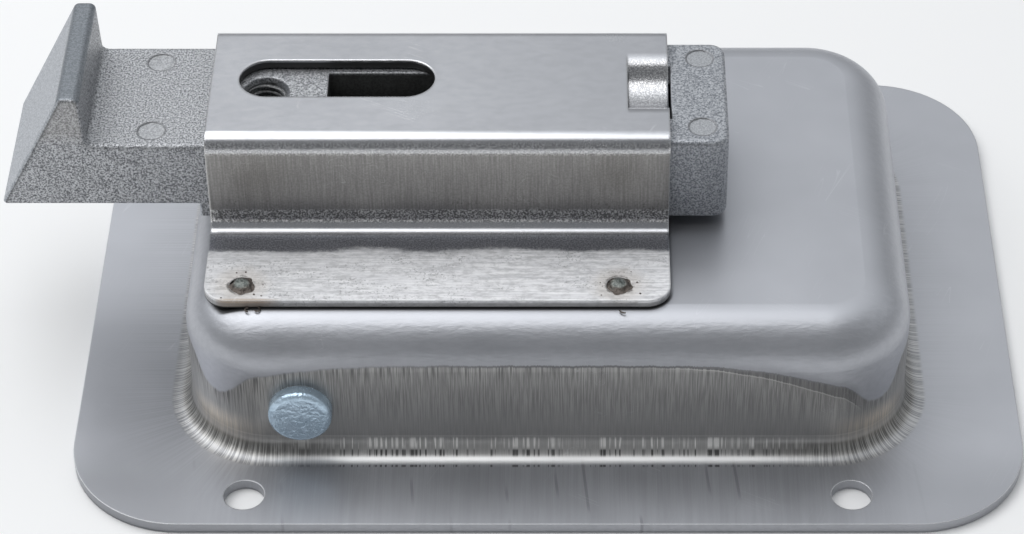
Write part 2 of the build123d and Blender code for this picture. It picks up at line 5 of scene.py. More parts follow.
import bpy
import numpy as np
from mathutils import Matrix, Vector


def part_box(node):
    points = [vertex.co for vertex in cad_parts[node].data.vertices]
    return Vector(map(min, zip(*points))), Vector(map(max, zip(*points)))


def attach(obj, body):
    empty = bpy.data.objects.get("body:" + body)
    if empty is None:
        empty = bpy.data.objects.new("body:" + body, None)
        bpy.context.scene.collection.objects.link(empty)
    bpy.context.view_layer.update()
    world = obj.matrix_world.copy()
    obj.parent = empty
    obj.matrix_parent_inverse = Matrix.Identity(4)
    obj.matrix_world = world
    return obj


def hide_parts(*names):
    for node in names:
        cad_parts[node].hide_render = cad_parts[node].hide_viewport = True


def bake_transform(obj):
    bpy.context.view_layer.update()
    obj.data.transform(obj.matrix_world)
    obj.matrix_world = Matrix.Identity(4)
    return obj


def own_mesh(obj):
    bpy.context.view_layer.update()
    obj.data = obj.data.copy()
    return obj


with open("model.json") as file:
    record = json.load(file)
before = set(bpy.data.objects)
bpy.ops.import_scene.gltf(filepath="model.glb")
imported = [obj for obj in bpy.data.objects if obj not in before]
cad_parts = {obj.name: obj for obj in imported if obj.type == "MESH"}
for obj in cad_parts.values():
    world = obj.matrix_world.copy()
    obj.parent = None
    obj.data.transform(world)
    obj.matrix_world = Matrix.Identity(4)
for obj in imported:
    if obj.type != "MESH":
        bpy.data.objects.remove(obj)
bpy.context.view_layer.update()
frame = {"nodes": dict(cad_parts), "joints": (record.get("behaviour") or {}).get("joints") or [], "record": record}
record = frame["record"]
joints = {joint["name"]: joint for joint in frame["joints"]}
mounts = {mount["name"]: mount for mount in record["mounts"]}
MM = 0.001
ORIGIN = (0.0, 0.0, 0.0)


# Sizes and places in millimetres, from the frame where it gives them

def box_mm(node):
    """Lowest and highest corner of a CAD node as arrays in millimetres."""
    low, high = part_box(node)
    return np.array(low) / MM, np.array(high) / MM


pan_bottom = box_mm("pan")[0][2]
bracket_low, bracket_high = box_mm("guide_bracket")
bolt_low, bolt_high = box_mm("slam_bolt")
coil_low, coil_high = box_mm("bolt_spring")
twist_low, twist_high = box_mm("paddle_spring")
weld_low, weld_high = box_mm("plug_welds")
hinge_axis = np.array(joints["paddle_hinge"]["pos_m"]) / MM
thread_place = np.array(mounts["pull_rod_thread"]["pos_m"]) / MM
thread_bore = mounts["pull_rod_thread"]["dims"]["r_mm"]
thread_length = mounts["pull_rod_thread"]["dims"]["length_mm"]

sheet = 1.5
end_face = 45.8
side_face = 31.1
wall_corner = 11.0
draw_line = 16.25
bracket_sheet = 1.2
floor_top = bracket_low[2]
foot_top = floor_top + bracket_sheet
foot_front = bracket_low[1]
foot_corner = 3.0
bracket_wall_half = 11.8
slot_low = -39.3
slot_high = -14.4
trough_start = 10.1
bolt_line = (bolt_low[1] + bolt_high[1]) / 2
bolt_top = bracket_high[2] - 1.5
mark_radius = 1.75
mark_spread = 14.0
mark_places = (bracket_low[0] - 7.1, bolt_high[0] - 3.3)
weld_reach = 1.48
weld_centre = (weld_low[:2] + weld_high[:2]) / 2
weld_half = (weld_high[:2] - weld_low[:2]) / 2 - weld_reach
weld_places = [weld_centre + weld_half * np.array(side) for side in ((-1, -1), (1, -1), (-1, 1), (1, 1))]


# Surfaces

def smooth(low, high, value):
    """Smoothstep: 0 below low, 1 above high, and an S-curve between them."""
    t = np.clip((value - low) / (high - low), 0.0, 1.0)
    return t * t * (3.0 - 2.0 * t)


def unit(vectors):
    """Vectors divided by their own lengths."""
    return vectors / np.linalg.norm(vectors, axis=-1, keepdims=True)


def grid(x, y, z):
    """Points from three arrays of coordinates, spread to one common shape."""
    return np.stack(np.broadcast_arrays(x, y, z), axis=-1)


def tube_faces(rows, columns):
    """Quads between neighbouring rings of a tube, numbered ring by ring, each ring closed on itself."""
    row, column = np.meshgrid(np.arange(rows - 1), np.arange(columns), indexing="ij")
    here = row * columns + column
    beside = row * columns + (column + 1) % columns
    return np.stack([here, beside, beside + columns, here + columns], axis=-1).reshape(-1, 4).tolist()


def closed_tube(rings):
    """Points and faces of a tube of rings (rows, columns, 3), closed by a flat face at each end."""
    rows, columns = rings.shape[:2]
    faces = tube_faces(rows, columns)
    faces.append(list(range(columns))[::-1])
    faces.append(list(range((rows - 1) * columns, rows * columns)))
    return rings.reshape(-1, 3), faces


def joined(parts):
    """Several (points, faces) pairs as one, each part's face numbers moved past the points before it."""
    points = np.concatenate([part[0] for part in parts])
    starts = np.cumsum([0] + [len(part[0]) for part in parts])
    faces = [[n + int(start) for n in face] for part, start in zip(parts, starts) for face in part[1]]
    return points, faces


def wire(path, lean, radius, sides=14):
    """A round wire: at each path point a circle of the radius, in the plane square to the path.
    The circle's first direction is the part of lean that is square to the path. The last ring at
    each end is a little smaller and a little further out, which breaks the edge of the cut."""
    end_reach = 0.12
    end_size = 0.86
    along = unit(np.gradient(path, axis=0))
    ends = path[[0, -1]] + along[[0, -1]] * np.array([[-1.0], [1.0]]) * radius * end_reach
    path = np.concatenate([ends[:1], path, ends[1:]])
    along = np.concatenate([along[:1], along, along[-1:]])
    size = np.full(len(path), radius)
    size[[0, -1]] = radius * end_size
    first = unit(lean - (along @ lean)[:, None] * along)[:, None, :]
    second = np.cross(along[:, None, :], first)
    turn = np.linspace(0.0, 2.0 * np.pi, sides, endpoint=False)[None, :, None]
    circle = first * np.cos(turn) + second * np.sin(turn)
    return closed_tube(path[:, None, :] + circle * size[:, None, None])


def linked(name, data):
    """A new object of that data, linked to the scene."""
    made = bpy.data.objects.new(name, data)
    bpy.context.scene.collection.objects.link(made)
    return made


def new_mesh(name, shape, material):
    """A mesh of that material from points in millimetres and their faces."""
    points, faces = shape
    mesh = bpy.data.meshes.new(name)
    mesh.from_pydata((points * MM).tolist(), [], faces)
    mesh.materials.append(material)
    return mesh


def piece(name, shape, slot):
    """A mesh object at the origin in its slot's finish, smooth apart from the flat ends of its tubes."""
    mesh = new_mesh(name, shape, finishes[slot])
    mesh.polygons.foreach_set("use_smooth", [len(face) <= 4 for face in shape[1]])
    mesh.validate()
    mesh.update()
    made = linked(name, mesh)
    return made


# Node trees

def shade(colour):
    """A colour as an input takes it: red, green and blue with full cover, or a socket as it is."""
    return (*colour, 1.0) if isinstance(colour, tuple) else colour


class Board:
    """A node tree being wired: adds nodes, sets their inputs and joins their sockets."""

    def __init__(self, tree):
        self.tree = tree

    def join(self, value, socket):
        """Links a socket to an input, or sets the input's own value."""
        if isinstance(value, bpy.types.NodeSocket):
            self.tree.links.new(value, socket)
        else:
            socket.default_value = value

    def add(self, kind, inputs=None, **settings):
        """A node of that kind with its settings and inputs."""
        node = self.tree.nodes.new(kind)
        for key, value in settings.items():
            setattr(node, key, value)
        for label, value in (inputs or {}).items():
            self.join(value, node.inputs[label])
        return node

    def math(self, operation, first, second=0.0, clamp=False):
        """One arithmetic step on values."""
        node = self.add("ShaderNodeMath", {0: first, 1: second}, operation=operation, use_clamp=clamp)
        return node.outputs[0]

    def chain(self, operation, values):
        """The same arithmetic step from each value to the next."""
        result = values[0]
        for value in values[1:]:
            result = self.math(operation, result, value)
        return result

    def plus(self, *values):
        """The sum of the values."""
        return self.chain("ADD", values)

    def times(self, *values):
        """The product of the values."""
        return self.chain("MULTIPLY", values)

    def largest(self, *values):
        """The largest of the values."""
        return self.chain("MAXIMUM", values)

    def minus(self, first, second):
        """The first value less the second."""
        return self.math("SUBTRACT", first, second)

    def without(self, mask):
        """1 where the mask is 0, and 0 where it is 1."""
        return self.minus(1.0, mask)

    def unsigned(self, value):
        """The value without its sign."""
        return self.math("ABSOLUTE", value)

    def distance(self, *offsets):
        """The root of the sum of the squared offsets."""
        return self.math("SQRT", self.plus(*[self.times(offset, offset) for offset in offsets]))

    def swing(self, noise, span):
        """Noise made to swing about zero, over that span."""
        return self.times(self.minus(noise, 0.5), span)

    def step(self, value, low, high, at_low=0.0, at_high=1.0):
        """An S-curve from at_low, where the value is low, to at_high, where it is high."""
        ends = {"From Min": low, "From Max": high, "To Min": at_low, "To Max": at_high}
        node = self.add("ShaderNodeMapRange", {"Value": value, **ends}, interpolation_type="SMOOTHSTEP")
        return node.outputs[0]

    def drop(self, value, low, high):
        """An S-curve from 1, where the value is low, to 0, where it is high."""
        return self.step(value, low, high, 1.0, 0.0)

    def window(self, value, low, high, soft):
        """1 where the value lies between low and high, with soft edges."""
        rise = self.step(value, low - soft, low + soft)
        return self.times(rise, self.drop(value, high - soft, high + soft))

    def blend(self, share, first, second):
        """A colour between two others."""
        colours = {0: share, 6: shade(first), 7: shade(second)}
        return self.add("ShaderNodeMix", data_type="RGBA", clamp_factor=True, inputs=colours).outputs[2]

    def between(self, share, first, second):
        """A value between two others."""
        values = {0: share, 2: first, 3: second}
        return self.add("ShaderNodeMix", data_type="FLOAT", clamp_factor=True, inputs=values).outputs[0]

    def vector(self, operation, first, second=ORIGIN):
        """One arithmetic step on points."""
        return self.add("ShaderNodeVectorMath", {0: first, 1: second}, operation=operation).outputs[0]

    def measure(self, operation, first, second=ORIGIN):
        """A value measured on points, such as a length."""
        return self.add("ShaderNodeVectorMath", {0: first, 1: second}, operation=operation).outputs["Value"]

    def stretch(self, point, factors):
        """A point with each of its coordinates multiplied."""
        return self.vector("MULTIPLY", point, factors)

    def split(self, point):
        """The three coordinates of a point."""
        return self.add("ShaderNodeSeparateXYZ", {0: point}).outputs

    def merge(self, x, y, z):
        """A point from three coordinates."""
        return self.add("ShaderNodeCombineXYZ", {0: x, 1: y, 2: z}).outputs[0]

    def noise(self, point, scale=1.0, detail=2.0, rough=0.5):
        """Noise from 0 to 1, scale features to the millimetre."""
        inputs = {"Vector": point, "Scale": scale, "Detail": detail, "Roughness": rough}
        return self.add("ShaderNodeTexNoise", inputs).outputs[0]


VALUE = "NodeSocketFloat"
VECTOR = "NodeSocketVector"


def effect_group(name, inputs, outputs):
    """An empty node group with named sockets, and the board, inputs and outputs to wire it with."""
    tree = bpy.data.node_groups.new(name, "ShaderNodeTree")
    for label, value in inputs.items():
        kind = VECTOR if isinstance(value, tuple) else VALUE
        tree.interface.new_socket(label, in_out="INPUT", socket_type=kind).default_value = value
    for label, kind in outputs.items():
        tree.interface.new_socket(label, in_out="OUTPUT", socket_type=kind)
    board = Board(tree)
    return tree, board, board.add("NodeGroupInput").outputs, board.add("NodeGroupOutput").inputs


def sheet_tone_group():
    """Tone of rolled sheet: wide soft clouds and a fine even grain, both from 0 to 1."""
    tree, board, given, result = effect_group(
        "sheet tone", {"Point": ORIGIN, "Cloud": 0.07, "Grain": 5.0}, {"Clouds": VALUE, "Grain": VALUE}
    )
    board.join(board.noise(given["Point"], given["Cloud"], 3.0, 0.6), result["Clouds"])
    board.join(board.noise(given["Point"], given["Grain"], 2.0, 0.6), result["Grain"])
    return tree


def streaks_group():
    """Streaks: noise on coordinates stretched by the Stretch vector, so that it runs out in lines."""
    tree, board, given, result = effect_group(
        "streaks", {"Point": ORIGIN, "Stretch": (1.0, 1.0, 1.0), "Contrast": 0.25}, {"Streaks": VALUE}
    )
    lines = board.noise(board.stretch(given["Point"], given["Stretch"]), 1.0, 4.0, 0.65)
    low = board.minus(0.5, given["Contrast"])
    high = board.plus(0.5, given["Contrast"])
    board.join(board.step(lines, low, high), result["Streaks"])
    return tree


def hair_scratches_group():
    """Hair scratches: the thin level lines of long, stretched noise in three directions, kept in patches."""
    tree, board, given, result = effect_group(
        "hair scratches", {"Point": ORIGIN, "Width": 0.012, "Share": 0.5}, {"Scratches": VALUE}
    )
    marks = []
    for angle, squeeze in ((0.5, 0.025), (-1.1, 0.0175), (1.9, 0.04)):
        turned = board.add(
            "ShaderNodeVectorRotate", {"Vector": given["Point"], "Angle": angle}, rotation_type="Z_AXIS"
        ).outputs[0]
        field = board.noise(board.stretch(turned, (squeeze, 0.9, 0.9)), 1.0, 0.0, 0.4)
        line = board.unsigned(board.minus(field, 0.5))
        thin = board.math("SUBTRACT", 1.0, board.math("DIVIDE", line, given["Width"]), clamp=True)
        patch = board.noise(board.stretch(turned, (0.09, 0.16, 0.1)), 1.0, 1.0, 0.5)
        kept = board.math("GREATER_THAN", patch, board.without(given["Share"]))
        marks.append(board.times(thin, kept))
    board.join(board.largest(*marks), result["Scratches"])
    return tree


def draw_lines_group():
    """Lines of drawn sheet: each point is moved square to a rounded rectangle's edge until it lies on it,
    and noise read there stays the same up the wall and out over the flange, so it runs in draw lines.
    Reach is the distance out from the corner centres' rectangle, in millimetres."""
    plan = {"Half Length": 40.0, "Half Width": 30.0, "Corner": 10.0}
    tree, board, given, result = effect_group(
        "draw lines",
        {"Point": ORIGIN, **plan, "Fine": 2.0, "Coarse": 0.3},
        {"Lines": VALUE, "Bands": VALUE, "Reach": VALUE},
    )
    climb = 0.025
    x, y, z = board.split(given["Point"])
    inner = []
    for value, half in ((x, given["Half Length"]), (y, given["Half Width"])):
        limit = board.minus(half, given["Corner"])
        inner.append(board.largest(board.math("MINIMUM", value, limit), board.times(limit, -1.0)))
    core = board.merge(*inner, 0.0)
    outward = board.vector("SUBTRACT", board.merge(x, y, 0.0), core)
    edge = board.vector("MULTIPLY", board.vector("NORMALIZE", outward), given["Corner"])
    lift = board.merge(0.0, 0.0, board.times(z, climb))
    on_edge = board.vector("ADD", board.vector("ADD", core, edge), lift)
    board.join(board.noise(on_edge, given["Fine"], 3.0, 0.6), result["Lines"])
    board.join(board.noise(on_edge, given["Coarse"], 2.0, 0.5), result["Bands"])
    board.join(board.measure("LENGTH", outward), result["Reach"])
    return tree


def edge_wear_and_highlight_group():
    """Worn edges that catch a highlight: a rounded normal over a small radius, and a mask where it leaves
    the true normal. Some finishes paint the mask light, as wear and as a painted highlight.
    """
    tree, board, given, result = effect_group(
        "edge wear and highlight", {"Radius": 0.0002}, {"Edge": VALUE, "Normal": VECTOR}
    )
    rounded = board.add("ShaderNodeBevel", {"Radius": given["Radius"]}, samples=6).outputs[0]
    true = board.add("ShaderNodeNewGeometry").outputs["Normal"]
    board.join(board.step(board.measure("DOT_PRODUCT", rounded, true), 0.995, 0.86), result["Edge"])
    board.join(rounded, result["Normal"])
    return tree


def weld_heat_group():
    """Heat round the four welds: the distance to the nearest one, found by folding the plane about the
    middle of the four, gives a dark ring close by and a straw-coloured halo further out."""
    tree, board, given, result = effect_group(
        "weld heat", {"Point": ORIGIN, "Ring": 1.9, "Halo": 5.0}, {"Ring": VALUE, "Halo": VALUE}
    )
    away = []
    for value, centre, half in zip(board.split(given["Point"]), weld_centre, weld_half):
        away.append(board.minus(board.unsigned(board.minus(value, centre)), half))
    ragged = board.swing(board.noise(given["Point"], 0.8, 3.0, 0.6), 1.6)
    reach = board.plus(board.distance(*away), ragged)
    board.join(board.drop(reach, board.times(given["Ring"], 0.8), given["Ring"]), result["Ring"])
    board.join(board.drop(reach, given["Ring"], given["Halo"]), result["Halo"])
    return tree


sheet_tone = sheet_tone_group()
streaks = streaks_group()
hair_scratches = hair_scratches_group()
draw_lines = draw_lines_group()
edge_wear_and_highlight = edge_wear_and_highlight_group()
weld_heat = weld_heat_group()


# Finishes

class Finish:
    """A procedural metal: a Principled BSDF, its board, the point on the object in millimetres, the worn
    edges, which some finishes paint light as wear and as a painted highlight, and the colour so far, over
    which coats are laid."""

    def __init__(self, name, edge_radius, metallic=1.0):
        self.material = bpy.data.materials.new(name)
        self.material.use_nodes = True
        self.board = Board(self.material.node_tree)
        self.shader = self.material.node_tree.nodes["Principled BSDF"]
        self.shader.inputs["Metallic"].default_value = metallic
        place = self.board.add("ShaderNodeTexCoord").outputs["Object"]
        self.point = self.board.stretch(place, (1.0 / MM, 1.0 / MM, 1.0 / MM))
        self.edge = self.effect(edge_wear_and_highlight, Radius=edge_radius)
        self.colour = None

    def effect(self, group, **inputs):
        """A shared effect with this finish's own values. Underscores in the names stand for spaces."""
        node = self.board.add("ShaderNodeGroup", node_tree=group)
        if "Point" in node.inputs:
            self.board.join(self.point, node.inputs["Point"])
        for label, value in inputs.items():
            self.board.join(value, node.inputs[label.replace("_", " ")])
        return node.outputs

    def base(self, share, first, second):
        """The first colour, between two tones."""
        self.colour = self.board.blend(share, first, second)

    def coat(self, mask, colour, cover=1.0):
        """A coat of colour where the mask is, which covers that share of what lies under it."""
        share = mask if cover == 1.0 else self.board.times(mask, cover)
        self.colour = self.board.blend(share, self.colour, colour)

    def lay(self, rough, height, depth):
        """Joins the colour, a roughness and a bump of that depth in millimetres over the worn edges."""
        inputs = {"Height": height, "Normal": self.edge["Normal"], "Distance": depth * MM}
        bump = self.board.add("ShaderNodeBump", inputs)
        self.board.join(self.colour, self.shader.inputs["Base Color"])
        self.board.join(rough, self.shader.inputs["Roughness"])
        self.board.join(bump.outputs[0], self.shader.inputs["Normal"])
        return self.material


def pan_corner(board, across, aside):
    """How near a point of the pan is to a corner: 0 along the middles of its sides, 1 at the corners."""
    shares = {0: board.math("DIVIDE", across, end_face), 1: board.math("DIVIDE", aside, side_face), 2: 0.09}
    nearness = board.add("ShaderNodeMath", shares, operation="SMOOTH_MIN").outputs[0]
    return board.largest(board.math("DIVIDE", board.minus(nearness, 0.33), 0.655), 0.0)


def below_draw_line(board, x, z, corner, drawn):
    """How far a point lies below the draw line, which wanders a little and dips towards the corners."""
    fall = board.step(x, -40.0, 40.0, board.times(corner, 5.4), 6.9)
    dip = board.plus(board.times(corner, corner, fall), board.step(corner, 0.72, 0.86, 0.0, 2.4))
    wander = board.plus(board.swing(drawn["Bands"], 0.5), board.swing(drawn["Lines"], 0.45))
    return board.minus(board.minus(board.plus(wander, draw_line), dip), z)


def foot_crevice_shade(board, x, y, z):
    """Mask of the crevice on the pan's floor round the bracket's feet, where shade is painted, by the distance
    from the rectangle of their corners' centres. It is fainter between the feet."""
    past_foot = []
    for value, low, high in zip((x, y), bracket_low, bracket_high):
        off_middle = board.unsigned(board.minus(value, (low + high) / 2))
        past_foot.append(board.largest(board.minus(off_middle, (high - low) / 2 - foot_corner), 0.0))
    close = board.drop(board.distance(*past_foot), foot_corner + 0.15, foot_corner + 0.5)
    on_floor = board.step(z, floor_top - 1.2, floor_top - 0.8)
    return board.times(close, on_floor, board.step(board.unsigned(y), 22.0, 25.0, 0.4, 1.0))


def pan_finish():
    """Satin drawn stainless sheet: smooth and mottled above the draw line, with a dark strip along it. Below
    it the wall is rubbed in fine upright lines. They end over the flange's root in dashes, painted dark and
    bright as reflections, and in hair lines round its corners and ends. The root has a painted highlight
    line and, near the corners, a painted dark reflection band above it; a thin painted highlight runs round
    the fillet's top, and a painted warm glint lies low in the corners. The flange's long sides have rolling
    streaks and a few slanted scratches, and the front left is painted darker as a dimmer reflection. Edges
    are painted light, as wear and as a caught highlight, and shade is painted in the crevice round the
    bracket's feet."""
    finish = Finish("pan_satin", edge_radius=0.00022, metallic=0.8)
    board, point, coat = finish.board, finish.point, finish.coat
    step, drop, window, times = board.step, board.drop, board.window, board.times
    noise, largest, plus, minus = board.noise, board.largest, board.plus, board.minus
    x, y, z = board.split(point)
    across = board.unsigned(x)
    aside = board.unsigned(y)
    plan = {"Half_Length": end_face, "Half_Width": side_face, "Corner": wall_corner}
    tone = finish.effect(sheet_tone, Cloud=0.06, Grain=4.5)
    fine = finish.effect(draw_lines, Fine=6.4, Coarse=0.35, **plan)
    wide = finish.effect(draw_lines, Fine=2.5, Coarse=0.16, **plan)
    rolled = finish.effect(streaks, Stretch=(1.1, 0.05, 1.0), Contrast=0.3)["Streaks"]
    scratches = finish.effect(hair_scratches, Width=0.010, Share=0.36)["Scratches"]
    lines = step(fine["Lines"], 0.36, 0.66)
    hairs = step(fine["Lines"], 0.42, 0.60)

    # Where a point lies
    corner = pan_corner(board, across, aside)
    near_corner = step(corner, 0.25, 0.85)
    ends = step(across, end_face - 1.0, end_face + 0.2)
    outside = minus(fine["Reach"], wall_corner)
    below = below_draw_line(board, x, z, corner, fine)
    on_wall = step(z, sheet + 0.1, sheet + 0.5)
    on_flange = board.without(on_wall)
    front_wall = times(step(aside, side_face - 1.2, side_face - 0.4), drop(corner, 0.82, 0.98), on_wall)
    front_flange = times(step(aside, side_face + 1.0, side_face + 2.5), step(across, 50.0, 36.0), on_flange)
    rubbed = times(step(below, -0.1, 0.5), on_wall)

    # Smooth sheet
    mottle = step(noise(board.stretch(point, (0.6, 1.5, 1.5)), 1.0, 4.0, 0.65), 0.3, 0.7)
    mottled = times(mottle, window(z, 9.0, floor_top - 0.5, 0.4))
    # Front left of the pan painted darker: painted shade standing in for a dimmer reflection there
    dim_reflection_patch = times(step(x, -28.0, -52.0, 0.3, 0.6), step(y, -28.0, -39.0))
    finish.base(tone["Clouds"], (0.43, 0.44, 0.47), (0.53, 0.54, 0.575))
    coat(mottled, (0.36, 0.37, 0.40), 0.30)
    coat(dim_reflection_patch, (0.22, 0.225, 0.24))
    coat(times(step(below, -1.8, 0.0, 0.0, 0.4), front_wall), (0.20, 0.205, 0.22))

    # Rubbed wall
    worn = board.blend(lines, (0.235, 0.233, 0.23), (0.405, 0.40, 0.393))
    streaked = board.blend(lines, (0.16, 0.155, 0.145), (0.46, 0.445, 0.41))
    worn = board.blend(times(near_corner, 0.32), worn, streaked)
    worn = board.blend(step(z, 4.0, 13.0, 0.6, 0.0), worn, (0.54, 0.535, 0.53))
    coat(rubbed, worn)
    ticks = times(step(wide["Lines"], 0.52, 0.60), drop(below, 0.1, 3.4), rubbed)
    coat(times(ticks, step(x, -6.0, 10.0, 0.75, 0.4)), (0.10, 0.10, 0.10))

    # Dark strip under the draw line, wider to the right
    past_strip = minus(below, step(x, 14.0, 50.0, 0.36, 2.7))
    strip = times(step(below, -0.05, 0.15), drop(past_strip, -0.12, 0.12), front_wall)
    strip = times(strip, step(x, -30.0, 2.0, 0.15, 0.85), step(x, 12.0, 30.0, 1.0, 0.62))
    strip_edge = times(window(past_strip, 0.0, 0.16, 0.08), step(x, 8.0, 24.0), front_wall)
    coat(strip, (0.13, 0.13, 0.135))
    coat(strip_edge, (0.62, 0.61, 0.59), 0.5)

    # Flange
    fade = times(step(outside, 2.0, 13.0, 0.22, 0.0), step(x, 30.0, 48.0, 1.0, 0.4))
    flange_lines = times(on_flange, lines, fade)
    ripple = noise(board.merge(plus(x, times(y, 0.09)), 0.0, 0.0), 1.1, 0.0, 0.5)
    scored = times(step(ripple, 0.64, 0.72), step(noise(point, 0.11, 1.0, 0.5), 0.48, 0.60), front_flange)
    coat(flange_lines, (0.20, 0.205, 0.215))
    coat(times(rolled, front_flange), (0.20, 0.205, 0.22), 0.26)
    coat(scored, (0.11, 0.112, 0.12), 0.36)

    # Flange's root: a painted highlight line along it and a painted dark reflection band above it near the
    # corners, with hair lines at corners and ends
    root_highlight = step(largest(corner, ends), 0.3, 0.9, 0.6, 0.1)
    root = times(window(outside, 0.3, 2.8, 0.3), largest(near_corner, ends))
    # Painted highlight: a near-white line along the flange's root
    coat(times(window(outside, 1.3, 2.3, 0.25), root_highlight), (0.92, 0.92, 0.91))
    # Painted dark reflection band above the root's highlight, towards the corners
    dark_reflection_band = times(window(z, 1.95, 3.2, 0.3), step(corner, 0.15, 0.7))
    coat(dark_reflection_band, (0.10, 0.098, 0.092), 0.7)
    coat(root, board.blend(hairs, (0.12, 0.118, 0.114), (0.66, 0.65, 0.63)), 0.5)

    # Dashes between the corners along the draw lines: painted reflections, dark below and bright above
    dash = board.without(largest(step(corner, 0.2, 0.75), ends))
    dash = times(dash, step(wide["Lines"], 0.51, 0.57), step(wide["Bands"], 0.28, 0.52))
    bright = times(dash, window(z, 2.6, 3.9, 0.3))
    dark = largest(window(z, 1.9, 2.45, 0.12), window(outside, 2.5, 2.85, 0.15))
    coat(times(dash, dark), (0.035, 0.035, 0.035), 0.85)
    coat(bright, (0.95, 0.94, 0.92), 0.85)
    # A thin light line round the fillet's top: a painted highlight
    coat(window(z, 4.1, 4.3, 0.1), (0.85, 0.84, 0.82), 0.3)

    # Painted warm glint low in the corners, then scratches, edges painted light as wear and as a highlight, and
    # painted shade in the crevice
    warm_glint = times(window(z, 3.6, 6.5, 1.4), step(corner, 0.62, 0.95))
    coat(times(warm_glint, step(lines, 0.0, 1.0, 0.45, 0.85)), (0.95, 0.84, 0.70))
    coat(scratches, (0.74, 0.75, 0.78), 0.20)
    # Edges painted light: wear, and a painted highlight that they catch
    coat(finish.edge["Edge"], (0.96, 0.96, 0.97), 0.8)
    # Painted shade in the crevice round the bracket's feet
    coat(foot_crevice_shade(board, x, y, z), (0.02, 0.02, 0.02), 0.92)

    rough = step(tone["Clouds"], 0.2, 0.8, 0.36, 0.43)
    rough = board.between(times(bright, 0.9), rough, 0.6)
    rough = plus(rough, board.swing(tone["Grain"], 0.08))
    height = plus(
        times(lines, rubbed, 0.8),
        times(tone["Grain"], 0.15),
        times(mottled, board.without(rubbed), 1.6),
        times(scratches, -0.35),
        times(flange_lines, 0.6),
        times(root, hairs, 0.8),
    )
    return finish.lay(rough, height, 0.010)


